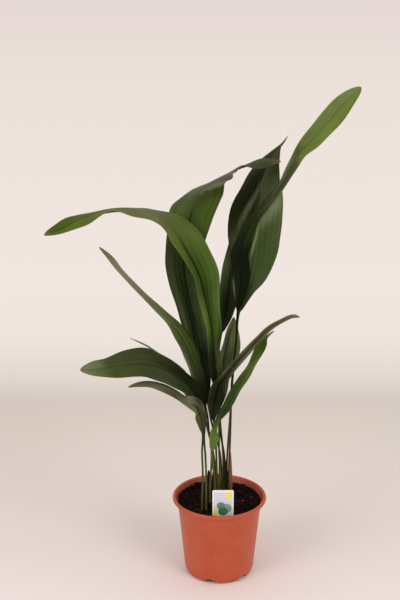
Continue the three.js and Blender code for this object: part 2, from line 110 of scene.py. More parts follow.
def apply_modifier(piece, kind, **settings):
    """Adds one modifier to the piece and applies it."""
    modifier = piece.modifiers.new(kind.lower(), kind)
    for setting, value in settings.items():
        setattr(modifier, setting, value)
    take(piece)
    bpy.ops.object.modifier_apply(modifier=modifier.name)


def shade_smooth(piece, sharp_degrees):
    """Smooth shading, but for the edges that are sharper than this."""
    take(piece)
    bpy.ops.object.shade_smooth_by_angle(angle=math.radians(sharp_degrees))


def linear(code):
    """Linear colour of an sRGB hex value."""
    channels = [int(code[i:i + 2], 16) / 255 for i in (1, 3, 5)]
    curve = [c / 12.92 if c <= 0.04045 else ((c + 0.055) / 1.055) ** 2.4 for c in channels]
    return (*curve, 1.0)


def add_node(material, kind, inputs=None, stops=None, **settings):
    """Adds one shader node. An input is a plain value, or the output of another node, which is linked."""
    tree = material.node_tree
    node = tree.nodes.new("ShaderNode" + kind)
    for setting, value in settings.items():
        setattr(node, setting, value)
    for socket, value in (inputs or {}).items():
        if isinstance(value, bpy.types.NodeSocket):
            tree.links.new(value, node.inputs[socket])
        else:
            node.inputs[socket].default_value = value
    if stops:
        elements = node.color_ramp.elements
        elements[0].position, elements[0].color = stops[0][0], linear(stops[0][1])
        elements[-1].position, elements[-1].color = stops[-1][0], linear(stops[-1][1])
        for position, colour in stops[1:-1]:
            elements.new(position).color = linear(colour)
    return node


def new_finish(name):
    """A new material with an empty principled shader."""
    material = bpy.data.materials.new(name)
    material.use_nodes = True
    return material


def feed_shader(material, **sockets):
    """Sets or links the sockets of the material's principled shader."""
    shader = material.node_tree.nodes["Principled BSDF"]
    for socket, value in sockets.items():
        target = shader.inputs[socket.replace("_", " ")]
        if isinstance(value, bpy.types.NodeSocket):
            material.node_tree.links.new(value, target)
        else:
            target.default_value = value


def terracotta_polypropylene():
    """Moulded polypropylene: satin, faintly mottled where the melt flowed, with a fine grain and dusty
    scuffs. Inside, below the lip, the wall is darkened: partly a stain from the wet mix, partly painted
    shade."""
    material = new_finish("terracotta_polypropylene")
    place = add_node(material, "TexCoord").outputs["Object"]
    flow = add_node(material, "TexNoise", {"Vector": place, "Scale": 38.0, "Detail": 3.0, "Roughness": 0.6})
    body = add_node(material, "ValToRGB", {"Fac": flow.outputs["Fac"]},
                    stops=[(0.3, "#b54c2a"), (0.5, "#ba5030"), (0.7, "#be5535")])
    scuff = add_node(material, "TexNoise", {
        "Vector": place, "Scale": 160.0, "Detail": 4.0, "Roughness": 0.7})
    dust = add_node(material, "MapRange", {
        "Value": scuff.outputs["Fac"], "From Min": 0.62, "From Max": 0.74, "To Max": 0.35})
    dusty = add_node(material, "Mix", {
        0: dust.outputs["Result"], 6: body.outputs["Color"], 7: linear("#c98a70")}, data_type="RGBA")

    apart = add_node(material, "SeparateXYZ", {"Vector": place})
    outward = add_node(material, "CombineXYZ", {"X": apart.outputs["X"], "Y": apart.outputs["Y"]})
    normal = add_node(material, "NewGeometry").outputs["Normal"]
    facing = add_node(material, "VectorMath", {0: outward.outputs[0], 1: normal}, operation="DOT_PRODUCT")
    # Stain and painted shade: faces that look inward, below the lip, darken toward #2c1008, partly a stain
    # from the wet mix and partly painted shade inside the rim.
    inside = add_node(material, "MapRange", {
        "Value": facing.outputs["Value"], "From Min": -RIM_RADIUS / 2 * MM, "From Max": 0.0,
        "To Min": 1.0, "To Max": 0.0})
    below = add_node(material, "MapRange", {
        "Value": apart.outputs["Z"], "From Min": (POT_HEIGHT - 1) * MM, "From Max": (LIP_FOOT - 4) * MM,
        "To Max": 0.88})
    stain_and_shade = add_node(material, "Math", {0: inside.outputs["Result"], 1: below.outputs["Result"]},
                     operation="MULTIPLY")
    stained_and_shaded = add_node(material, "Mix", {0: stain_and_shade.outputs[0], 6: dusty.outputs[2], 7: linear("#2c1008")},
                       data_type="RGBA")

    grain = add_node(material, "TexNoise", {"Vector": place, "Scale": 900.0, "Detail": 2.0})
    bump = add_node(material, "Bump", {"Strength": 0.25, "Distance": 0.0002, "Height": grain.outputs["Fac"]})
    gloss = add_node(material, "MapRange", {"Value": scuff.outputs["Fac"], "To Min": 0.32, "To Max": 0.5})
    feed_shader(material, Base_Color=stained_and_shaded.outputs[2], Roughness=gloss.outputs["Result"],
                Normal=bump.outputs["Normal"], IOR=1.49, Specular_IOR_Level=0.4)
    return material


pot = start_piece("nursery_pot", bpy.ops.mesh.primitive_circle_add, vertices=POT_SIDES,
                  radius=POT_PROFILE[0][0] * MM, fill_type="NGON")
bpy.ops.object.mode_set(mode="EDIT")
draw_rings(POT_PROFILE)
bpy.ops.mesh.select_all(action="SELECT")
bpy.ops.mesh.normals_make_consistent(inside=False)
bpy.ops.object.mode_set(mode="OBJECT")
apply_modifier(pot, "SUBSURF", levels=1, render_levels=1)

cutters = []
for i in range(NOTCHES):
    turn = NOTCH_TURN + i * math.tau / NOTCHES
    middle = FOOT_RADIUS - NOTCH_DEPTH + NOTCH_REACH / 2
    cutters.append(start_piece(
        f"notch_{i}", bpy.ops.mesh.primitive_cylinder_add, vertices=NOTCH_SIDES, radius=NOTCH_WIDTH / 2 * MM,
        depth=NOTCH_REACH * MM, rotation=(math.pi / 2, 0, turn),
        location=(middle * MM * math.sin(turn), -middle * MM * math.cos(turn), 0),
        stretch=(1, NOTCH_HEIGHT / (NOTCH_WIDTH / 2), 1)))
for cutter in cutters:
    apply_modifier(pot, "BOOLEAN", operation="DIFFERENCE", solver="EXACT", object=cutter)
    bpy.data.objects.remove(cutter)
apply_modifier(pot, "BEVEL", limit_method="ANGLE", angle_limit=math.radians(50), width=0.4 * MM, segments=2)
shade_smooth(pot, 40)
pot.data.materials.append(terracotta_polypropylene())
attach(pot, "root")
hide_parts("pot")

# ---- Potting mix ----
# Moist dark peat mix, filled to just under the lip. A lumpy surface closes the body that fills the pot, and
# loose crumbs, bark chips and root fibres, each scattered by a seeded draw, lie on it.
SOIL_TOP = 110
SOIL_SWELL = 2.2
SOIL_SLOPE = (-0.015, 0.005)
SOIL_BANK = 5.5
SOIL_CLOD = 3.2
SOIL_SIDES = 192
SOIL_RINGS = 44
SOIL_EDGE = 60.6
SOIL_GAP = 0.3
FILL_RADIUS = FOOT_RADIUS - 3
STREWN_RADIUS = SOIL_EDGE - 1.5
CRUMBS = 950
CHIPS = 150
FIBRES = 110
FIBRE_BEND = 0.2  # where a fibre is cut across to bend, as a share of its length from its middle
TAG_X = 4.5
TAG_Y = -50
TAG_WIDTH = 31
TAG_ROOM = 3


def soil_height(x, y):
    """Height of the mix at a point, in millimetres."""
    lumps = math.sin(x / 4.1 + 1) * math.cos(y / 5.3) + 0.6 * math.sin(x / 2.3 - y / 3.1)
    rise = min(max(math.hypot(x, y) / (WALL_TOP_RADIUS / 2) - 1, 0), 1)
    bank = SOIL_BANK * rise * rise * (3 - 2 * rise) + SOIL_SLOPE[0] * x + SOIL_SLOPE[1] * y
    clods = noise.fractal(Vector((x, y, 3)) / SOIL_CLOD, 0.7, 2.0, 4)
    return SOIL_TOP + bank + SOIL_SWELL / 2 * lumps + 0.9 * clods


def potting_mix():
    """Peat mix: dull and nearly black where it is moist, with brown and rusty bits between dark crumbs."""
    material = new_finish("moist_potting_mix")
    place = add_node(material, "TexCoord").outputs["Object"]
    grit = add_node(material, "TexNoise", {
        "Vector": place, "Scale": 420.0, "Detail": 5.0, "Roughness": 0.75})
    tone = add_node(material, "Attribute", attribute_name="tone").outputs["Fac"]
    mixed = add_node(material, "Math", {0: grit.outputs["Fac"], 1: tone}, operation="ADD")
    colour = add_node(material, "ValToRGB", {"Fac": mixed.outputs[0]}, stops=[
        (0.35, "#0a0403"), (0.55, "#180b06"), (0.72, "#2c160b"), (0.88, "#542c14"), (1.0, "#8a5228")])
    bump = add_node(material, "Bump", {"Strength": 0.8, "Distance": 0.0008, "Height": grit.outputs["Fac"]})
    feed_shader(material, Base_Color=colour.outputs["Color"], Roughness=0.92, Normal=bump.outputs["Normal"],
                Specular_IOR_Level=0.1)
    return material


mix_finish = potting_mix()
soil = start_piece("potting_mix", bpy.ops.mesh.primitive_circle_add, vertices=SOIL_SIDES,
                   radius=FILL_RADIUS * MM, fill_type="NGON", location=(0, 0, (POT_FLOOR + SOIL_GAP) * MM))
bpy.ops.object.mode_set(mode="EDIT")
draw_rings([(FILL_RADIUS, POT_FLOOR + SOIL_GAP), (WALL_FOOT_RADIUS - WALL - 2 * SOIL_GAP, FOOT_TURN),
            (WALL_TOP_RADIUS - WALL - 2 * SOIL_GAP, LIP_FOOT - 4)]
           + [(SOIL_EDGE * (1 - i / SOIL_RINGS), SOIL_TOP) for i in range(SOIL_RINGS)])
bpy.ops.object.mode_set(mode="OBJECT")
for vertex in soil.data.vertices:
    x, y, z = vertex.co / MM
    if z > SOIL_TOP - 1:
        vertex.co.z = soil_height(x, y) * MM
shade_smooth(soil, 60)
soil.data.materials.append(mix_finish)
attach(soil, "root")
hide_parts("soil")


def scatter(model, count, sizes, tones, tilt):
    """Copies of one modelled crumb, strewn over the mix. Returns them as objects."""
    strewn = []
    while len(strewn) < count:
        radius = STREWN_RADIUS * math.sqrt(draw.random())
        angle = draw.uniform(0, math.tau)
        x, y = radius * math.cos(angle), radius * math.sin(angle)
        if abs(x - TAG_X) < TAG_WIDTH / 2 + TAG_ROOM and abs(y - TAG_Y) < TAG_ROOM + 0.5:
            continue
        piece = bpy.data.objects.new(f"{model.name}_{len(strewn)}", model.data.copy())
        bpy.context.scene.collection.objects.link(piece)
        size = draw.uniform(*sizes) * MM
        piece.rotation_euler = (
            draw.uniform(-tilt, tilt), draw.uniform(-tilt, tilt), draw.uniform(0, math.tau))
        piece.scale = (size * draw.uniform(0.7, 1.3), size * draw.uniform(0.7, 1.3), size)
        piece.location = (x * MM, y * MM, (soil_height(x, y) + 0.15) * MM)
        shade = piece.data.attributes.new("tone", "FLOAT", "POINT")
        shade.data.foreach_set("value", [draw.uniform(*tones)] * len(piece.data.vertices))
        strewn.append(piece)
    bpy.data.objects.remove(model)
    return strewn


def roughen(piece, amount):
    """Breaks up the even surface of a small primitive."""
    for vertex in piece.data.vertices:
        vertex.co *= 1 + amount * noise.noise(vertex.co * 2.7)


draw = random.Random(7)
crumb = start_piece("crumb", bpy.ops.mesh.primitive_ico_sphere_add, subdivisions=2, radius=0.5)
roughen(crumb, 0.9)
chip = start_piece("chip", bpy.ops.mesh.primitive_cube_add, size=1, stretch=(1.6, 0.8, 0.22))
apply_modifier(chip, "SUBSURF", subdivision_type="SIMPLE", levels=2, render_levels=2)
roughen(chip, 0.8)
fibre = start_piece("fibre", bpy.ops.mesh.primitive_cylinder_add, vertices=5, radius=0.03, depth=1,
                    rotation=(0, math.pi / 2, 0))
bpy.ops.object.mode_set(mode="EDIT")
for cut in (-FIBRE_BEND, FIBRE_BEND):
    bpy.ops.mesh.select_all(action="SELECT")
    bpy.ops.mesh.bisect(plane_co=(cut, 0, 0), plane_no=(1, 0, 0))
bpy.ops.object.mode_set(mode="OBJECT")
for vertex in fibre.data.vertices:
    vertex.co.y += 0.35 * vertex.co.x ** 2
strewn = []
for model, count, sizes, tones, tilt in (
    (crumb, CRUMBS, (1.2, 4.2), (-0.15, 0.22), math.pi),
    (chip, CHIPS, (1.6, 4.5), (-0.1, 0.4), 0.35),
    (fibre, FIBRES, (5, 15), (0.0, 0.4), 0.35),
):
    strewn += scatter(model, count, sizes, tones, tilt)
bpy.ops.object.select_all(action="DESELECT")
for piece in strewn:
    piece.select_set(True)
bpy.context.view_layer.objects.active = strewn[0]
bpy.ops.object.join()
crumbs = bpy.context.object
crumbs.name = "potting_mix_crumbs"
bpy.ops.object.transform_apply(location=True, rotation=True, scale=True)
crumbs.data.materials.clear()
crumbs.data.materials.append(mix_finish)
shade_smooth(crumbs, 45)
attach(crumbs, "root")

# ---- Plant tag ----
# One flat strip of white plastic, printed on its face and pushed into the mix in front. The upright plate
# gets round shoulders, its foot is drawn down to a spike, and it bows a little, as a tag in the soil does.
TAG_TOP = 156
TAG_SHOULDER = 116
TAG_FOOT = SOIL_TOP - 30
TAG_THICKNESS = 0.9
TAG_CORNER = 2
TAG_SPIKE = 9
TAG_BOW = 0.5
TAG_ROW = 4
TAG_SIDE_BORDER = 2.2
TAG_TOP_BORDER = 3
TAG_DISCS = [
    # offset from the tag's middle, height and radius
    (9.5, 149, 6.5, "#f2e468"),
    (-11, 118, 8, "#efe27a"),
    (5, 127, 7.5, "#7fa58e"),
    (-3, 131, 6, "#5d8c70"),
    (0, 122, 7, "#44755a"),
]
HAIR = 1e-5


def printed_tag():
    """Printed plastic with a soft gloss: plain green and yellow discs on lilac, inside a white border."""
    material = new_finish("printed_white_plastic")
    place = add_node(material, "TexCoord").outputs["Object"]
    axes = add_node(material, "SeparateXYZ", {"Vector": place})
    off_middle = add_node(material, "Math", {0: axes.outputs["X"], 1: TAG_X * MM}, operation="SUBTRACT")
    aside = add_node(material, "Math", {0: off_middle.outputs[0]}, operation="ABSOLUTE")
    inside_x = add_node(material, "Math", {0: aside.outputs[0], 1: (TAG_WIDTH / 2 - TAG_SIDE_BORDER) * MM},
                        operation="LESS_THAN")
    inside_z = add_node(material, "Math", {0: axes.outputs["Z"], 1: (TAG_TOP - TAG_TOP_BORDER) * MM},
                        operation="LESS_THAN")
    normal = add_node(material, "NewGeometry").outputs["Normal"]
    facing = add_node(material, "SeparateXYZ", {"Vector": normal})
    front = add_node(material, "Math", {0: facing.outputs["Y"], 1: -0.5}, operation="LESS_THAN")
    field = add_node(material, "Math", {0: inside_x.outputs[0], 1: inside_z.outputs[0]},
                     operation="MULTIPLY")
    printed = add_node(material, "Math", {0: field.outputs[0], 1: front.outputs[0]}, operation="MULTIPLY")
    shown = linear("#dcd8ea")
    for x, z, radius, code in TAG_DISCS:
        centre = ((TAG_X + x) * MM, TAG_Y * MM, z * MM)
        far = add_node(material, "VectorMath", {0: place, 1: centre}, operation="DISTANCE")
        within = add_node(material, "Math", {0: far.outputs["Value"], 1: radius * MM}, operation="LESS_THAN")
        shown = add_node(material, "Mix", {0: within.outputs[0], 6: shown, 7: linear(code)},
                         data_type="RGBA").outputs[2]
    colour = add_node(material, "Mix", {0: printed.outputs[0], 6: linear("#f2f0e8"), 7: shown},
                      data_type="RGBA")
    feed_shader(material, Base_Color=colour.outputs[2], Roughness=0.32, IOR=1.49)
    return material


def pick_vertices(piece, wanted):
    """Selects the vertices at the heights that are wanted, and the edges between them, for edit mode."""
    bpy.ops.object.mode_set(mode="EDIT")
    bpy.ops.mesh.select_all(action="DESELECT")
    bpy.ops.object.mode_set(mode="OBJECT")
    for vertex in piece.data.vertices:
        vertex.select = wanted(vertex.co.z)
    for edge in piece.data.edges:
        edge.select = all(piece.data.vertices[i].select for i in edge.vertices)
    bpy.ops.object.mode_set(mode="EDIT")


tag = start_piece("plant_tag", bpy.ops.mesh.primitive_plane_add, size=1, rotation=(math.pi / 2, 0, 0),
                  location=(TAG_X * MM, TAG_Y * MM, (TAG_TOP + TAG_SHOULDER) / 2 * MM),
                  stretch=(TAG_WIDTH * MM, (TAG_TOP - TAG_SHOULDER) * MM, 1))
pick_vertices(tag, lambda z: z < TAG_SHOULDER * MM + HAIR)
bpy.ops.mesh.extrude_region_move(TRANSFORM_OT_translate={"value": (0, 0, (TAG_FOOT - TAG_SHOULDER) * MM)})
bpy.ops.transform.resize(value=(TAG_SPIKE / TAG_WIDTH, 1, 1))
pick_vertices(tag, lambda z: z > TAG_TOP * MM - HAIR)
bpy.ops.mesh.select_mode(type="VERT")
bpy.ops.mesh.bevel(offset=TAG_CORNER * MM, segments=8, affect="VERTICES")
for height in range(TAG_SHOULDER + TAG_ROW, TAG_TOP - TAG_CORNER, TAG_ROW):
    bpy.ops.mesh.select_all(action="SELECT")
    bpy.ops.mesh.bisect(plane_co=(0, 0, height * MM), plane_no=(0, 0, 1))
bpy.ops.object.mode_set(mode="OBJECT")
for vertex in tag.data.vertices:
    rise = max(0, vertex.co.z / MM - TAG_SHOULDER) / (TAG_TOP - TAG_SHOULDER)
    vertex.co.y += TAG_BOW * MM * rise ** 2
apply_modifier(tag, "SOLIDIFY", thickness=TAG_THICKNESS * MM, offset=0)
apply_modifier(tag, "BEVEL", limit_method="ANGLE", angle_limit=math.radians(60), width=0.15 * MM, segments=2)
shade_smooth(tag, 30)
tag.data.materials.append(printed_tag())
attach(tag, "root")
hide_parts("label")

# ---- Leaves ----
# Living leaves of a cast iron plant, each grown in one piece with its stalk. A flat grid is shaped along the
# leaf's middle line, rolled into a grooved stalk below and opened into a pleated blade above, and then given
# its thickness, with a keel along the rib underneath.

# A leaf's row gives its greatest half width, where on the blade that is and how the tip narrows; its
# streaks, dried tip, rib line (a painted shade along the rib's crease) and sheen; its middle line; at each
# point of the blade the turn of its left and right half in degrees, and how far their margins lag and lead;
# and colours by the share of its length, which carry painted light and shade: darker where the leaf turns
# from the light or lies in shade, paler and greyer where its sheen catches the light. A few patches of
# painted highlight and painted shadow follow, each by its place and spread (aside, along), its lean and its
# tint.
LEAVES = [dict(
    name="leaf_arching_left", slot="leaf_bright", half=31, widest=0.45, tip=0.6,
    streaks=0.16, dried=0.012, rib=0.75, sheen=0.14,
    stalk=[(0, 0, 82), (0, 0, 113), (0, 0, 136), (0, 0, 172), (-1, 0, 205), (-1, 0, 237)],
    blade=[(-2, -1, 269), (-5, -4, 318), (-10, -8, 365), (-15, -12, 402), (-23, -16, 439), (-31, -20, 473),
        (-47, -26, 508), (-70, -36, 549), (-96, -46, 569), (-123, -55, 576), (-152, -64, 577),
        (-188, -76, 569), (-214, -84, 558), (-235, -90, 552)],
    tilt=[(25, 35), (25, 35), (65, 65), (75, 55), (75, 50), (75, 25), (75, 10), (65, -55), (70, -75),
        (65, -75), (85, -75), (45, -55), (45, 0), (45, 0)],
    foot={0: "#6a5a32", 0.11: "#655e33"},
    left={0.22: "#4a5028", 0.37: "#1f260e", 0.43: "#272c18", 0.48: "#506a2a", 0.53: "#677e34",
        0.58: "#4a5a26", 0.63: "#44581f", 0.68: "#566829", 0.73: "#63703c", 0.8: "#606434", 0.88: "#5e6426",
        0.94: "#57681c", 1: "#566418"},
    right={0.22: "#4a5028", 0.37: "#3d4724", 0.43: "#55643c", 0.48: "#66843a", 0.53: "#587434",
        0.58: "#4e652a", 0.64: "#4b6120", 0.69: "#4e6020", 0.74: "#57622e", 0.8: "#646838", 0.88: "#5a602c",
        0.94: "#4b5a1c", 1: "#435810"},
    under={0.35: "#56653a", 1: "#66733f"},
    light_and_shade_patches=[((0.98, 0.47), (0.26, 0.09), 0, "#2f391c"), ((0.36, 0.47), (0.1, 0.06), 0, "#6c8836")],
), dict(
    name="leaf_tall_right", slot="leaf_green", half=29, widest=0.42, tip=0.53,
    streaks=0.16, dried=0.008, rib=0.9, sheen=0.05,
    stalk=[(14, 1, 82), (14, 1, 113), (14, 1, 135), (14, 1, 163), (15, 1, 196), (16, 1, 245), (17, 1, 300),
        (20, 1, 339), (23, 1, 370)],
    blade=[(24, 0, 404), (27, -3, 447), (28, -6, 477), (27, -9, 504), (43, -14, 549), (56, -17, 569),
        (81, -22, 607), (104, -27, 647), (124, -30, 670), (146, -34, 697), (164, -38, 721),
        (182, -42, 739)],
    tilt=[(30, 0), (30, 0), (45, -40), (60, -55), (75, -75), (80, -75), (87, -72), (76, -68), (58, -57),
        (35, -38), (0, -15), (0, -15)],
    foot={0: "#7a5c36", 0.1: "#5e5630"},
    left={0.3: "#0f1504", 0.38: "#1c2410", 0.46: "#061002", 0.53: "#0e1a04", 0.62: "#1c2806",
        0.71: "#1c2e06", 0.76: "#3c4c1c", 0.79: "#465420", 0.81: "#647838", 0.87: "#6a7e40",
        0.93: "#6b7f44", 1: "#75874e"},
    right={0.3: "#0e1303", 0.38: "#121804", 0.48: "#0a1402", 0.53: "#262f10", 0.58: "#28320f",
        0.63: "#3a461e", 0.68: "#2a3a0a", 0.745: "#3c4c1a", 0.765: "#64782f", 0.83: "#6f873a",
        0.88: "#728840", 0.94: "#6c803a", 1: "#6f8040"},
    under={0.35: "#333c20", 0.7: "#4f5e34", 1: "#6c7a45"},
    light_and_shade_patches=[((0.06, 0.75), (0.16, 0.07), 0, "#63694a"), ((0.08, 0.385), (0.1, 0.05), 0, "#5c6452"),
        ((0.9, 0.66), (0.22, 0.06), 20, "#525a30")],
), dict(
    name="leaf_broad_back", slot="leaf_green", half=39, widest=0.5, tip=0.75,
    streaks=0.2, dried=0.05, rib=0.9, sheen=0.08,
    stalk=[(11, 11, 82), (11, 11, 113), (11, 11, 130), (11, 11, 158), (12, 11, 191), (15, 11, 240),
        (18, 11, 296), (21, 11, 335), (24, 12, 366)],
    blade=[(26, 13, 402), (37, 16, 440), (42, 18, 462), (46, 21, 491), (48, 24, 520), (50, 27, 548),
        (54, 30, 576), (58, 32, 601), (66, 34, 621), (75, 35, 636), (85, 36, 649), (93, 37, 660)],
    tilt=[(35, 35), (35, 50), (-10, 15), (-15, 5), (-5, 20), (-12, 15), (-38, 18), (-50, 28), (-62, 40),
        (-72, 55), (-85, 85), (-85, 85)],
    foot={0: "#6a5430", 0.12: "#5e5a30"},
    left={0.3: "#3c4628", 0.5: "#46522e", 0.6: "#39421f", 0.68: "#283010", 0.78: "#1d2606", 0.88: "#22280a",
        0.94: "#2c3012", 1: "#36321e"},
    right={0.3: "#46503a", 0.4: "#4c5a34", 0.5: "#42532a", 0.58: "#475c2c", 0.64: "#526234",
        0.72: "#5e6a46", 0.8: "#5a6640", 0.87: "#4c5a30", 0.93: "#3c4124", 1: "#46402c"},
    under={1: "#4c583a"},
    light_and_shade_patches=[((0.36, 0.72), (0.36, 0.045), 27, "#6f7a56"), ((0.1, 0.57), (0.22, 0.07), 0, "#5f6c45"),
        ((0.52, 0.59), (0.12, 0.03), 45, "#8a9e68"), ((0.8, 0.71), (0.3, 0.06), 15, "#73805e")],
), dict(
    name="leaf_folded_left", slot="leaf_green", half=34, widest=0.5, tip=0.6,
    streaks=0.22, dried=0.02, rib=0.9, sheen=0.08,
    stalk=[(4, 3, 82), (4, 3, 113), (4, 3, 134), (3, 3, 162), (1, 4, 187), (-4, 4, 211), (-10, 5, 231)],
    blade=[(-15, 8, 254), (-20, 14, 283), (-25, 22, 318), (-35, 31, 381), (-46, 32, 427), (-52, 29, 467),
        (-50, 21, 508), (-42, 10, 550), (-35, 4, 571), (-25, 0, 592), (-10, 4, 602), (7, 10, 610),
        (30, 14, 621), (55, 10, 626), (82, 7, 630)],
    tilt=[(0, 0), (0, 0), (15, 30), (40, 50), (50, 45), (45, 35), (40, 40), (30, 15), (-22, 0), (-60, 48),
        (-80, 74), (-85, 78), (-85, 86), (-48, 50), (-50, 50)],
    slant=[(0, 0), (0, 0), (0, 0), (0, 0), (0, 0), (0, 0), (0.1, 0.1), (0.25, 0.4), (0.55, 1), (0.65, 1.25),
        (0.5, 0.93), (0.4, 0.5), (0.1, 0.1), (0, 0), (0, 0)],
    foot={0: "#56552c", 0.12: "#4a4f2a"},
    left={0.3: "#2e371a", 0.47: "#404b28", 0.53: "#3c4526", 0.62: "#3a4424", 0.68: "#3a4628",
        0.72: "#4a5a2e", 0.77: "#465626", 0.8: "#4a5730", 0.82: "#5a5e44", 0.84: "#6c6958", 0.89: "#6c6754",
        0.915: "#5c563f", 0.94: "#484a34", 0.96: "#4a4f30", 1: "#4b5031"},
    right={0.3: "#262c1a", 0.43: "#161c08", 0.47: "#3c452b", 0.53: "#485634", 0.6: "#404c2c",
        0.66: "#3c4a28", 0.72: "#465828", 0.78: "#42541f", 0.806: "#404c22", 0.817: "#6a7052",
        0.828: "#4c4e38", 0.85: "#68634e", 0.9: "#5e5642", 0.925: "#4c4a34", 0.95: "#42482a", 1: "#3d4323"},
    under={0.5: "#3a452a", 0.8: "#4c5236", 0.86: "#6a6654", 0.92: "#5c563f", 1: "#56623e"},
    light_and_shade_patches=[((0.1, 0.56), (0.16, 0.2), 0, "#56633e"), ((0.97, 0.52), (0.2, 0.1), 0, "#5c6750"),
        ((0.36, 0.5), (0.16, 0.16), 0, "#22281a")],
), dict(
    name="leaf_narrow_left", slot="leaf_olive", half=14, widest=0.35, tip=0.6,
    streaks=0.14, dried=0.02, rib=0.82, sheen=0.14,
    stalk=[(-14, -1, 82), (-14, -1, 113), (-14, -1, 133), (-13, -1, 156), (-12, 0, 177), (-12, 1, 193),
        (-13, 2, 210), (-16, 3, 227)],
    blade=[(-18, 4, 249), (-26, 6, 286), (-35, 6, 323), (-46, 3, 356), (-59, -2, 382), (-73, -6, 403),
        (-106, -11, 440), (-138, -17, 478), (-154, -20, 500), (-168, -23, 516)],
    tilt=[(0, 0), (0, 0), (40, -35), (45, -40), (50, -45), (65, -60), (70, -70), (65, -65), (45, -40),
        (45, -40)],
    foot={0: "#66643f", 0.1: "#65684a"},
    left={0.3: "#2a3018", 0.42: "#2c3514", 0.48: "#3e4c22", 0.55: "#415322", 0.62: "#53652e",
        0.68: "#6f7a4c", 0.73: "#717650", 0.83: "#817e62", 0.9: "#918c73", 0.96: "#80805f", 1: "#717956"},
    right={0.3: "#20260f", 0.42: "#222b0e", 0.48: "#3d4c20", 0.55: "#4a5c28", 0.62: "#58682f",
        0.68: "#66743c", 0.73: "#6b7343", 0.8: "#7d7d57", 0.88: "#958f77", 0.95: "#828261", 1: "#717552"},
    under={0.5: "#5c6844", 1: "#73775d"},
    light_and_shade_patches=[((0.06, 0.5), (0.14, 0.12), 0, "#6a7058")],
), dict(
    name="leaf_broad_low_left", slot="leaf_green", half=27, widest=0.6, tip=0.6,
    streaks=0.18, dried=0.02, rib=0.85, sheen=0.1,
    stalk=[(-20, -26, 82), (-20, -26, 113), (-20, -24, 126), (-20, -15, 166), (-21, -9, 190),
        (-23, -5, 219)],
    blade=[(-22, -3, 240), (-26, -6, 267), (-35, -12, 288), (-49, -21, 311), (-66, -31, 329),
        (-85, -42, 344), (-106, -52, 354), (-126, -61, 358), (-153, -73, 358), (-175, -82, 358),
        (-193, -90, 360)],
    tilt=[(30, 30), (30, 30), (35, -25), (55, -50), (55, -50), (50, -45), (50, -35), (45, -40), (40, -50),
        (45, -35), (45, -35)],
    foot={0: "#5c6236", 0.13: "#5c673c"},
    left={0.3: "#262c12", 0.48: "#2e361a", 0.57: "#333b20", 0.64: "#42492e", 0.73: "#3d4526",
        0.79: "#3f4a1f", 0.87: "#404d20", 0.92: "#546030", 0.96: "#6a7350", 1: "#737a5c"},
    right={0.3: "#12160a", 0.45: "#161c02", 0.54: "#1a2302", 0.6: "#242c10", 0.66: "#2e340f",
        0.72: "#394020", 0.8: "#3f4524", 0.88: "#434a26", 0.92: "#646e48", 1: "#777c5c"},
    under={0.5: "#3f4a2a", 1: "#606a44"},
    light_and_shade_patches=[((0.05, 0.48), (0.15, 0.06), 0, "#4c5238")],
), dict(
    name="leaf_small_low_left", slot="leaf_olive", half=12, widest=0.35, tip=0.6,
    streaks=0.14, dried=0.03, rib=0.85, sheen=0.18,
    stalk=[(-26, -28, 82), (-26, -28, 113), (-26, -27, 121), (-25, -20, 170), (-26, -17, 203)],
    blade=[(-25, -15, 223), (-26, -19, 241), (-28, -24, 259), (-33, -33, 277), (-45, -53, 296),
        (-63, -59, 311), (-78, -62, 321), (-99, -63, 328), (-115, -67, 329), (-129, -73, 328)],
    tilt=[(45, 0), (45, 0), (40, 0), (55, 40), (60, -60), (65, -60), (55, -55), (55, -50), (50, -40),
        (50, -40)],
    foot={0: "#5a5636", 0.16: "#56522f"},
    left={0.3: "#484c30", 0.44: "#515536", 0.5: "#656b47", 0.6: "#727353", 0.68: "#69674f", 0.73: "#484a2e",
        0.79: "#525538", 0.86: "#73715b", 1: "#76724f"},
    right={0.3: "#2e351c", 0.43: "#3a4221", 0.5: "#4c542e", 0.57: "#4e5337", 0.63: "#777760",
        0.67: "#585841", 0.73: "#474a2b", 0.79: "#55583a", 0.87: "#787554", 1: "#706e4a"},
    under={0.5: "#5b5d45", 1: "#777559"},
    light_and_shade_patches=[((0.9, 0.57), (0.2, 0.05), 0, "#262c14")],
), dict(
    name="leaf_arching_right", slot="leaf_olive", half=14, widest=0.25, tip=0.6,
    streaks=0.14, dried=0.02, rib=0.85, sheen=0.15,
    stalk=[(-2, -7, 82), (-2, -7, 113), (-2, -7, 139), (-4, -7, 167), (-5, -7, 192), (-6, -7, 216)],
    blade=[(-8, -8, 241), (-10, -9, 260), (-7, -10, 281), (-2, -12, 304), (7, -14, 320), (27, -17, 347),
        (39, -19, 362), (55, -21, 381), (68, -23, 396), (85, -25, 408), (101, -27, 416), (111, -28, 415)],
    tilt=[(40, 30), (40, 30), (35, 10), (45, 45), (65, 60), (65, 65), (65, 65), (65, 65), (65, 65),
        (65, 65), (55, 50), (55, 50)],
    foot={0: "#665426", 0.12: "#4e552a"},
    left={0.3: "#40452f", 0.37: "#464b34", 0.43: "#282d18", 0.48: "#2a311a", 0.53: "#333a22",
        0.58: "#595c43", 0.64: "#504d36", 0.68: "#69684d", 0.74: "#797858", 0.84: "#827e60", 0.9: "#857e68",
        1: "#7b7257"},
    right={0.3: "#2d3418", 0.37: "#2c3416", 0.43: "#1c2404", 0.48: "#1e2606", 0.53: "#2f351b",
        0.58: "#4b4f32", 0.64: "#636246", 0.7: "#707650", 0.78: "#737450", 0.86: "#797656", 1: "#766e53"},
    under={0.5: "#4b4d37", 1: "#68664b"},
    light_and_shade_patches=[],
), dict(
    name="leaf_bright_right", slot="leaf_bright", half=14, widest=0.35, tip=0.45,
    streaks=0.14, dried=0.03, rib=0.9, sheen=0.05,
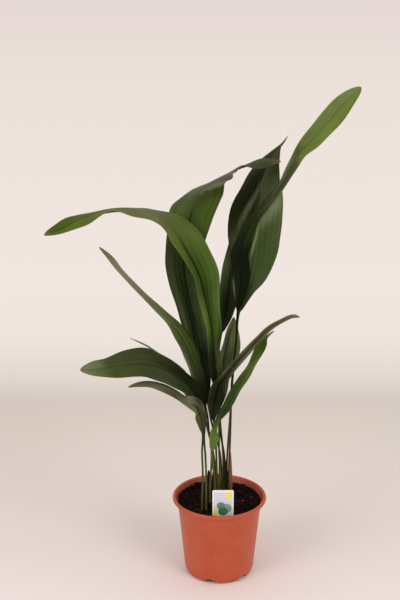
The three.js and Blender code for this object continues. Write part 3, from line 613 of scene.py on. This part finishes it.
    stalk=[(-7, -14, 82), (-7, -14, 113), (-7, -14, 143), (-8, -14, 164), (-10, -15, 178)],
    blade=[(-11, -16, 191), (-11, -18, 207), (-9, -20, 222), (-6, -22, 236), (-2, -23, 249), (4, -23, 265),
        (12, -23, 280), (22, -24, 301), (33, -26, 321), (45, -28, 343), (58, -31, 373), (64, -32, 385),
        (75, -33, 396)],
    tilt=[(150, -150), (150, -150), (145, -145), (120, -125), (66, -92), (60, -60), (60, -60), (55, -60),
        (55, -55), (60, -60), (35, -35), (70, -70), (70, -70)],
    foot={0: "#5c5a28", 0.14: "#545c28"},
    left={0.28: "#55682c", 0.42: "#6b7f38", 0.49: "#3a5210", 0.55: "#193005", 0.61: "#254004",
        0.67: "#2a4406", 0.73: "#36480a", 0.79: "#4a5820", 0.86: "#3c4c10", 1: "#364c0c"},
    right={0.28: "#55682c", 0.42: "#6c7e3c", 0.48: "#3a5214", 0.54: "#1a3604", 0.62: "#284408",
        0.68: "#3a5410", 0.74: "#4a5e1c", 0.8: "#546428", 0.9: "#324812", 1: "#2d4206"},
    under={0.3: "#66782f", 1: "#5c7228"},
    light_and_shade_patches=[],
), dict(
    name="leaf_olive_back", slot="leaf_olive", half=24, widest=0.52, tip=0.75,
    streaks=0.14, dried=0.03, rib=0.8, sheen=0.1,
    stalk=[(6, 10, 82), (6, 10, 113), (6, 10, 131), (6, 11, 158), (5, 13, 190), (2, 16, 222)],
    blade=[(0, 19, 249), (0, 21, 271), (2, 24, 298), (5, 26, 326), (10, 28, 349), (14, 29, 367),
        (18, 30, 382), (20, 31, 394)],
    tilt=[(-25, -25), (-25, -25), (-65, -50), (-72, -36), (-72, -18), (-68, -12), (-60, -30), (-60, -30)],
    foot={0: "#6e6424", 0.12: "#66661c"},
    left={0.3: "#3a4424", 0.66: "#374317", 0.73: "#3b4c0e", 0.78: "#353f05", 0.83: "#303509",
        0.88: "#515c21", 0.93: "#718045", 1: "#5f7034"},
    right={0.3: "#3a4424", 0.65: "#3c4624", 0.72: "#465328", 0.77: "#576237", 0.83: "#686e43",
        0.88: "#696f3c", 0.93: "#5c6833", 1: "#576530"},
    under={0.66: "#353d26", 0.84: "#5f663c", 1: "#535d35"},
    light_and_shade_patches=[],
), dict(
    name="leaf_dark_middle", slot="leaf_green", half=19, widest=0.35, tip=0.6,
    streaks=0.18, dried=0.02, rib=0.85, sheen=0.06,
    stalk=[(9, 5, 82), (9, 5, 113), (9, 5, 133), (8, 6, 161), (7, 8, 185), (3, 10, 208), (-2, 12, 240),
        (-5, 13, 271), (-3, 15, 333), (-1, 17, 355)],
    blade=[(1, 19, 368), (5, 23, 389), (9, 26, 407), (12, 30, 428), (16, 36, 456), (21, 42, 485),
        (28, 47, 513), (35, 51, 537), (40, 53, 551)],
    tilt=[(30, 30), (30, 30), (50, 45), (45, 40), (38, 30), (36, 15), (25, 0), (0, 0), (0, 0)],
    foot={0: "#4a4a26", 0.12: "#3c4020"},
    left={0.3: "#1c240e", 0.42: "#222a14", 0.48: "#263016", 0.53: "#3a4528", 0.58: "#4c5e38",
        0.63: "#5e7248", 0.68: "#6c7a50", 0.76: "#606c46", 1: "#4c5836"},
    right={0.3: "#20281a", 0.42: "#282f1c", 0.48: "#303820", 0.54: "#364022", 0.6: "#4c5a30",
        0.7: "#4a5632", 1: "#3c462a"},
    under={0.5: "#20261a", 1: "#333c24"},
    light_and_shade_patches=[],
), dict(
    name="leaf_hidden_left", slot="leaf_green", half=7, widest=0.35, tip=0.8,
    streaks=0.12, dried=0.03, rib=0.85, sheen=0.1,
    stalk=[(-4, 7, 82), (-4, 7, 113), (-4, 7, 132), (-6, 7, 160), (-10, 8, 193), (-17, 8, 223)],
    blade=[(-22, 6, 247), (-33, 1, 277), (-43, -4, 300), (-55, -8, 322), (-75, -9, 341), (-89, -6, 352),
        (-103, -9, 364), (-116, -14, 373), (-128, -20, 381)],
    tilt=[(0, 0), (0, 0), (35, -35), (30, -30), (40, -40), (75, -75), (75, -75), (70, -70), (70, -70)],
    foot={0: "#4a4a28", 0.12: "#454a28"},
    left={0.5: "#3c4628", 1: "#6c6e50"},
    right={0.5: "#3c4628", 1: "#6c6e50"},
    under={1: "#6c6e50"},
    light_and_shade_patches=[],
)]
SIGHT = Vector((0, 0.94, -0.34)).normalized()  # from the front, a little from above
STALK_RADIUS = 1.5
STALK_GROOVE = 0.5
STALK_ROLL = math.radians(140)
STALK_WALL = 1.0
BASE_TAPER = 1.1
BLADE_THICKNESS = 0.55
RIB_THICKNESS = 1.6
RIB_BREADTH = 1.3
SET_IN = 0.22  # the fine rows bulge past the coarse ones of the node, and these two take them back
DRAW_IN = 0.9995
TIP_WIDTH = 0.5
RIB_CHANNEL = 0.5
CHANNEL_BREADTH = 1.8
COLUMN_STEP = 1.15
COLUMN_CROWDING = 1.25  # columns stand closer together at the rib
ROW_STEP = 2.8
STALK_ROW_STEP = 3 * ROW_STEP
STALK_SHARE = 0.3
ARCH = math.radians(26)
PLEAT_PITCH = 8
PLEAT_DEPTH = 0.3
RIPPLE = 0.5
RIPPLE_PITCH = 46
STREAK_BREADTH = 2.4
STREAK_LENGTH = 150
VEIN_PITCH = 1.3


def ease(value, low, high):
    """Smooth step from 0 at low to 1 at high."""
    share = min(max((value - low) / (high - low), 0), 1)
    return share * share * (3 - 2 * share)


def half_width(leaf, t):
    """Half width of a lance-shaped blade, t running from 0 at its base to 1 at its tip."""
    if t <= leaf["widest"]:
        return leaf["half"] * math.sin(math.pi / 2 * t / leaf["widest"]) ** BASE_TAPER
    fall = math.cos(math.pi / 2 * (t - leaf["widest"]) / (1 - leaf["widest"]))
    return leaf["half"] * max(0, fall) ** leaf["tip"]


def curve_point(route, place):
    """Point and direction on a smooth curve through the route, where place counts the route's points."""
    i = min(int(place), len(route) - 2)
    w = place - i
    start, end = route[i], route[i + 1]
    before = route[i - 1] if i else 2 * start - end
    after = route[i + 2] if i + 2 < len(route) else 2 * end - start
    d0, d1, d2 = (math.sqrt((b - a).length) for a, b in ((before, start), (start, end), (end, after)))
    out = ((start - before) / d0 - (end - before) / (d0 + d1) + (end - start) / d1) * d1
    into = ((end - start) / d1 - (after - start) / (d1 + d2) + (after - end) / d2) * d1
    square = 3 * (end - start) - 2 * out - into
    cube = 2 * (start - end) + out + into
    direction = out + 2 * square * w + 3 * cube * w ** 2
    return start + out * w + square * w ** 2 + cube * w ** 3, direction.normalized()


def glide(values, place):
    """Value on a smooth curve through evenly numbered values."""
    i = min(int(place), len(values) - 2)
    w = place - i
    start, end = values[i], values[i + 1]
    out = (end - values[i - 1]) / 2 if i else end - start
    into = (values[i + 2] - start) / 2 if i + 2 < len(values) else end - start
    return (start + out * w + (3 * (end - start) - 2 * out - into) * w ** 2
            + (2 * (start - end) + out + into) * w ** 3)


def leaf_places(leaf, route):
    """Rows of the leaf as places on its route, closer together on the blade than on the stalk."""
    places = []
    for i in range(len(route) - 1):
        step = ROW_STEP if i >= len(leaf["stalk"]) - 2 else STALK_ROW_STEP
        count = max(2, math.ceil((route[i + 1] - route[i]).length / step))
        places += [i + j / count for j in range(count)]
    return places + [len(route) - 1]


def leaf_row(leaf, route, shares, place, columns):
    """One row across the leaf, margin to margin: each point with its thickness and its place on the leaf."""
    along_rib = max(0, place - len(leaf["stalk"]))
    k = min(int(along_rib), len(shares) - 2)
    t = shares[k] + (shares[k + 1] - shares[k]) * (along_rib - k)
    along = STALK_SHARE + (1 - STALK_SHARE) * t if along_rib else STALK_SHARE * place / len(leaf["stalk"])
    true_width = half_width(leaf, t)
    width = max(true_width, TIP_WIDTH)
    left, right = (math.radians(glide([pair[side] for pair in leaf["tilt"]], along_rib)) for side in (0, 1))
    turn = (right - left) / 2
    fold = (left + right) / 2 * ease(width, 0.8, 4)
    lag, lead = (glide([pair[side] for pair in leaf["slant"]], along_rib) if "slant" in leaf else 0
                 for side in (0, 1))
    opened = 1 if t > leaf["widest"] else ease(true_width, STALK_RADIUS, 3 * STALK_RADIUS)
    keel = (RIB_THICKNESS - BLADE_THICKNESS) * ease(2 * fold, -1, 0) * ease(width, 0.5, 7)
    pleats = max(2, round(leaf["half"] / PLEAT_PITCH))
    centre, tangent = curve_point(route, place)
    across = SIGHT.cross(tangent).normalized()
    forward = across.cross(tangent)
    wave = RIPPLE * ease(width, 6, 20) * math.sin(t * leaf["length"] / RIPPLE_PITCH * math.tau)

    halves = []
    for side, angle, slant in ((-1, fold - turn, lag), (1, fold + turn, lead)):
        x = y = near = 0
        half = []
        for j in range(columns + 1):
            share = (j / columns) ** COLUMN_CROWDING
            local = angle + ARCH * ease(width, 3, 15) * (0.5 - (near + share) / 2)
            x += side * width * (share - near) * math.cos(local)
            y += width * (share - near) * math.sin(local)
            near = share
            pleat = (PLEAT_DEPTH * ease(width, 4, 16) * (1 - math.cos(math.tau * pleats * share))
                     * (1 - share / 2))
            channel = RIB_CHANNEL * ease(width, 3, 9) * (1 - ease(share * width, 0, CHANNEL_BREADTH))
            rise = pleat - channel - SET_IN + side * wave * share ** 3
            blade_x = x - side * rise * math.sin(angle)
            blade_y = y + rise * math.cos(angle)
            roll = side * STALK_ROLL * j / columns
            stalk_x = STALK_GROOVE * math.sin(roll)
            stalk_y = -STALK_GROOVE * math.cos(roll)
            aside = stalk_x + (blade_x - stalk_x) * opened
            ahead = stalk_y + (blade_y - stalk_y) * opened
            shift = tangent * side * slant * share * width
            blade = BLADE_THICKNESS + keel * math.exp(-(share * width / RIB_BREADTH) ** 2)
            thickness = STALK_WALL + (blade - STALK_WALL) * opened
            point = centre + across * aside + forward * ahead + shift
            half.append((point, thickness, (0.5 + side * share / 2, along)))
        halves.append(half)
    return halves[0][:0:-1] + halves[1]


def grow_leaf(name, leaf):
    """Shapes a grid along the leaf's middle line, and thickens it."""
    route = [Vector(point) * DRAW_IN for point in leaf["stalk"] + leaf["blade"]]
    rib = route[len(leaf["stalk"]):]
    reach = [0]
    for start, end in zip(rib, rib[1:]):
        reach.append(reach[-1] + (end - start).length)
    leaf["length"] = reach[-1]
    shares = [length / reach[-1] for length in reach]
    columns = max(8, math.ceil(leaf["half"] / COLUMN_STEP))
    places = leaf_places(leaf, route)
    rows = [leaf_row(leaf, route, shares, place, columns) for place in places]

    piece = start_piece(name, bpy.ops.mesh.primitive_grid_add, size=2, x_subdivisions=2 * columns,
                        y_subdivisions=len(places) - 1)
    grown = []
    for vertex in piece.data.vertices:
        column = round((vertex.co.x + 1) * columns)
        row = round((vertex.co.y + 1) / 2 * (len(places) - 1))
        grown.append(rows[row][column])
    weights = piece.vertex_groups.new(name="thickness")
    for vertex, (point, thickness, _) in zip(piece.data.vertices, grown):
        vertex.co = point * MM
        weights.add([vertex.index], thickness / RIB_THICKNESS, "REPLACE")
    for loop, place in zip(piece.data.loops, piece.data.uv_layers[0].data):
        place.uv = grown[loop.vertex_index][2]
    apply_modifier(piece, "SOLIDIFY", thickness=RIB_THICKNESS * MM, offset=-1, vertex_group="thickness",
                   material_offset=1)
    shade_smooth(piece, 60)
    return piece


def leaf_surface(leaf, side, left_colours_and_painted_light, right_colours_and_painted_light, roughness):
    """One face of a living leaf: satin, coloured along the blade in colours that carry painted light and
    shade, with streaks, veins, a rib line of painted shade, and patches of painted highlight and painted
    shadow.
    """
    material = new_finish(f"{leaf['name']}_{side}")
    on_object = add_node(material, "TexCoord").outputs["Object"]
    on_leaf = add_node(material, "UVMap").outputs["UV"]
    place = add_node(material, "SeparateXYZ", {"Vector": on_leaf})
    aside, along = place.outputs["X"], place.outputs["Y"]
    seed = sum(map(ord, leaf["name"]))

    mottle = add_node(material, "TexNoise", {"Vector": on_object, "Scale": 55.0, "Detail": 3.0})
    shift = add_node(material, "MapRange", {
        "Value": mottle.outputs["Fac"], "To Min": -0.015, "To Max": 0.015})
    shifted = add_node(material, "Math", {0: along, 1: shift.outputs["Result"]}, operation="ADD").outputs[0]
    # The ramps carry painted light and shade along each half: darker where the leaf turns from the light or
    # lies in shade, paler where its sheen catches the light.
    left, right = (
        add_node(material, "ValToRGB", {"Fac": shifted}, stops=list((leaf["foot"] | stops).items()))
        for stops in (left_colours_and_painted_light, right_colours_and_painted_light))
    half = add_node(material, "MapRange", {"Value": aside, "From Min": 0.44, "From Max": 0.56})
    colour = add_node(material, "Mix", {
        0: half.outputs["Result"], 6: left.outputs["Color"], 7: right.outputs["Color"]},
        data_type="RGBA").outputs[2]
    # Patches of painted highlight and painted shadow: each blends its colour in over a soft ellipse in
    # (aside, along).
    for (patch_aside, patch_along), (spread_aside, spread_along), lean, painted_light_tint in leaf["light_and_shade_patches"]:
        off = add_node(material, "Mapping", {
            "Vector": on_leaf, "Location": (patch_aside, patch_along, 0),
            "Rotation": (0, 0, math.radians(lean)), "Scale": (spread_aside, spread_along, 1)},
            vector_type="TEXTURE")
        far = add_node(material, "VectorMath", {0: off.outputs[0]}, operation="LENGTH")
        near = add_node(material, "MapRange", {"Value": far.outputs["Value"], "To Min": 1.0, "To Max": 0.0},
                        interpolation_type="SMOOTHSTEP")
        colour = add_node(material, "Mix", {0: near.outputs["Result"], 6: colour, 7: linear(painted_light_tint)},
                          data_type="RGBA").outputs[2]

    breadth = 2 * leaf["half"]
    grain = add_node(material, "CombineXYZ", {"X": aside, "Y": along, "Z": seed})
    fine = add_node(material, "Mapping", {
        "Vector": grain.outputs[0],
        "Scale": (breadth / STREAK_BREADTH, leaf["length"] / STREAK_LENGTH, 1)})
    streak = add_node(material, "TexNoise", {
        "Vector": fine.outputs[0], "Scale": 1.0, "Detail": 3.0, "Roughness": 0.65})
    depth = add_node(material, "MapRange", {
        "Value": streak.outputs["Fac"], "From Min": 0.3, "From Max": 0.7,
        "To Min": 1 - leaf["streaks"], "To Max": 1 + leaf["streaks"]})
    vein = add_node(material, "TexWave", {
        "Vector": grain.outputs[0], "Scale": 0.314 * breadth / VEIN_PITCH, "Distortion": 0.6, "Detail": 2.0,
        "Detail Scale": 3.0})
    ridge = add_node(material, "MapRange", {"Value": vein.outputs["Fac"], "To Min": 0.93, "To Max": 1.07})
    cloud = add_node(material, "MapRange", {"Value": mottle.outputs["Fac"], "To Min": 0.85, "To Max": 1.15})
    # Painted shade: the rib factor darkens a narrow line along the rib, standing in for the shade in its
    # crease.
    off_rib = add_node(material, "Math", {0: aside, 1: 0.5}, operation="SUBTRACT")
    reach = add_node(material, "Math", {0: off_rib.outputs[0]}, operation="ABSOLUTE").outputs[0]
    rib = add_node(material, "MapRange", {
        "Value": reach, "From Min": 0.4 / breadth, "From Max": 1.2 / breadth, "To Min": leaf["rib"],
        "To Max": 1.0})
    margin = add_node(material, "MapRange", {
        "Value": reach, "From Min": 0.5 - 0.8 / breadth, "From Max": 0.5, "To Min": 1.0, "To Max": 1.3})
    for factor in (depth, ridge, cloud, rib, margin):
        colour = add_node(material, "VectorMath", {0: colour, "Scale": factor.outputs["Result"]},
                          operation="SCALE").outputs["Vector"]
    ragged = add_node(material, "MapRange", {
        "Value": shifted, "From Min": 1 - leaf["dried"], "From Max": 1.002})
    colour = add_node(material, "Mix", {0: ragged.outputs["Result"], 6: colour, 7: linear("#7d6443")},
                      data_type="RGBA").outputs[2]

    relief = add_node(material, "Math", {0: vein.outputs["Fac"], 1: streak.outputs["Fac"]}, operation="ADD")
    bump = add_node(material, "Bump", {"Strength": 0.35, "Distance": 0.0003, "Height": relief.outputs[0]})
    gloss = add_node(material, "MapRange", {
        "Value": streak.outputs["Fac"], "To Min": roughness - 0.07, "To Max": roughness + 0.07})
    feed_shader(material, Base_Color=colour, Roughness=gloss.outputs["Result"],
                Normal=bump.outputs["Normal"], Specular_IOR_Level=leaf["sheen"])
    return material


for leaf in LEAVES:
    piece = grow_leaf(leaf["name"].replace("leaf", "blade"), leaf)
    piece.data.materials.append(leaf_surface(leaf, "upper", leaf["left"], leaf["right"], 0.4))
    piece.data.materials.append(leaf_surface(leaf, "under", leaf["under"], leaf["under"], 0.52))
    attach(piece, "root")
    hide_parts(leaf["name"])

# ---- Dry scales and stubs ----
# The papery scales that wrapped the young shoots, and the cut stubs of old leaves, dried brown at the foot
# of the plant. They are shaped as the leaves are, but stay dull and curl inward.
DRY_PIECES = [dict(
    name="sheath_pale", slot="dry_pale", half=2.4, widest=0.3, tip=0.6,
    stalk=[(17.5, -4.5, 84), (17.5, -4.5, 112)],
    blade=[(17.5, -4.5, 118), (17, -5, 143), (16.5, -5, 168), (16.5, -4, 194)],
    tilt=[(40, 40), (50, 45), (45, 40), (40, 40)],
), dict(
    name="sheath_dark", slot="dry_dark", half=3, widest=0.4, tip=0.6,
    stalk=[(11, -4, 84), (11, -4, 112)],
    blade=[(11, -4, 118), (10.5, -4, 140), (10, -4, 164), (10, -4, 184)],
    tilt=[(-30, -30), (-40, -30), (-30, -30), (-30, -30)],
), dict(
    name="stub_left", slot="dry_dark", half=2.4, widest=0.5, tip=0.25,
    stalk=[(-17, 6, 84), (-17, 6, 112)],
    blade=[(-17, 6, 118), (-17, 6, 132), (-16, 7, 146), (-16, 7, 160)],
    tilt=[(25, 25), (25, 25), (20, 20), (20, 20)],
), dict(
    name="stub_right", slot="dry_dark", half=2.2, widest=0.5, tip=0.25,
    stalk=[(-10, 8, 84), (-10, 8, 112)],
    blade=[(-10, 8, 118), (-10, 8, 130), (-9, 9, 144), (-9, 9, 157)],
    tilt=[(25, 25), (25, 25), (20, 20), (20, 20)],
)]


def dried_scale(name, stops):
    """Dried leaf tissue: matte and papery, brown, with long fibres that stand out pale."""
    material = new_finish(name)
    place = add_node(material, "UVMap").outputs["UV"]
    stretched = add_node(material, "Mapping", {"Vector": place, "Scale": (9, 2.5, 1)})
    fibres = add_node(material, "TexNoise", {
        "Vector": stretched.outputs[0], "Scale": 1.0, "Detail": 4.0, "Roughness": 0.7})
    colour = add_node(material, "ValToRGB", {"Fac": fibres.outputs["Fac"]}, stops=stops)
    bump = add_node(material, "Bump", {"Strength": 0.6, "Distance": 0.0004, "Height": fibres.outputs["Fac"]})
    feed_shader(material, Base_Color=colour.outputs["Color"], Roughness=0.8, Normal=bump.outputs["Normal"],
                Specular_IOR_Level=0.1)
    return material


dry_finishes = {
    "dry_pale": dried_scale("papery_sheath", [(0.3, "#3c2416"), (0.5, "#77502f"), (0.7, "#a88660")]),
    "dry_dark": dried_scale("withered_stub", [(0.3, "#0c0603"), (0.5, "#20110a"), (0.7, "#4a3018")]),
}
for scale in DRY_PIECES:
    piece = grow_leaf(f"dry_{scale['name']}", scale)
    finish = dry_finishes[scale["slot"]]
    piece.data.materials.append(finish)
    piece.data.materials.append(finish)
    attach(piece, "root")
    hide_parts(scale["name"])

# ---- Stage, lights and camera ----
# A pale floor under soft studio light: a bright even surround, and two wide, soft lamps far off at the
# two sides of the camera, which give the pot its two faint shadows. The floor's tone carries painted shade:
# a darker band about 0.5 to 0.8 m behind the pot stands in for the shaded foot of a backdrop, with lighter
# floor in front of it and beyond it, where a lit wall would stand.
FLOOR_SIZE = 40
FLOOR_FRONT = -1.0  # the floor's tone, with its painted shade band, runs from here to the back
FLOOR_BACK = 8.0
CAMERA_PLACE = (-0.029, -1.680, 0.998)
CAMERA_DIP = math.radians(18.66)
CAMERA_LENS = 75
LAMP_SPREAD = math.radians(28)
LAMP_HEIGHT = math.radians(34)
LAMPS = [
    ("lamp_left", math.radians(-50), 0.62),
    ("lamp_right", math.radians(42), 0.72),
]
SURROUND = ("#fbf6f2", 0.72)

floor = start_piece("floor", bpy.ops.mesh.primitive_plane_add, size=FLOOR_SIZE)
floor_finish = new_finish("pale_backdrop_with_painted_shade")
far = add_node(floor_finish, "SeparateXYZ", {"Vector": add_node(floor_finish, "TexCoord").outputs["Object"]})
depth = add_node(floor_finish, "MapRange", {
    "Value": far.outputs["Y"], "From Min": FLOOR_FRONT, "From Max": FLOOR_BACK})
# Painted shade and light on the floor: darkest about 0.64 m behind the pot, lighter in front and beyond.
tone_and_painted_shade = add_node(floor_finish, "ValToRGB", {"Fac": depth.outputs["Result"]}, stops=[
    (0.1, "#f8edea"), (0.12, "#eee3de"), (0.15, "#ebe0da"), (0.17, "#e2d8d0"), (0.182, "#ddd2cb"),
    (0.196, "#eae2dc"), (0.22, "#f6efe8"), (0.26, "#f9f1ed"), (0.45, "#f6eee8"), (1.0, "#eee2e0")])
feed_shader(floor_finish, Base_Color=tone_and_painted_shade.outputs["Color"], Roughness=0.95)
floor.data.materials.append(floor_finish)

bpy.context.scene.view_settings.view_transform = "Standard"
world = bpy.data.worlds.new("surround")
world.use_nodes = True
bpy.context.scene.world = world
background = world.node_tree.nodes["Background"]
background.inputs["Color"].default_value = linear(SURROUND[0])
background.inputs["Strength"].default_value = SURROUND[1]
for name, azimuth, strength in LAMPS:
    bpy.ops.object.light_add(type="SUN", rotation=(math.pi / 2 - LAMP_HEIGHT, 0, azimuth))
    lamp = bpy.context.object
    lamp.name = name
    lamp.data.angle = LAMP_SPREAD
    lamp.data.energy = strength

bpy.ops.object.camera_add(location=CAMERA_PLACE, rotation=(math.pi / 2 - CAMERA_DIP, 0, 0))
camera = bpy.context.object
camera.name = "camera"
camera.data.lens = CAMERA_LENS
bpy.context.scene.camera = camera
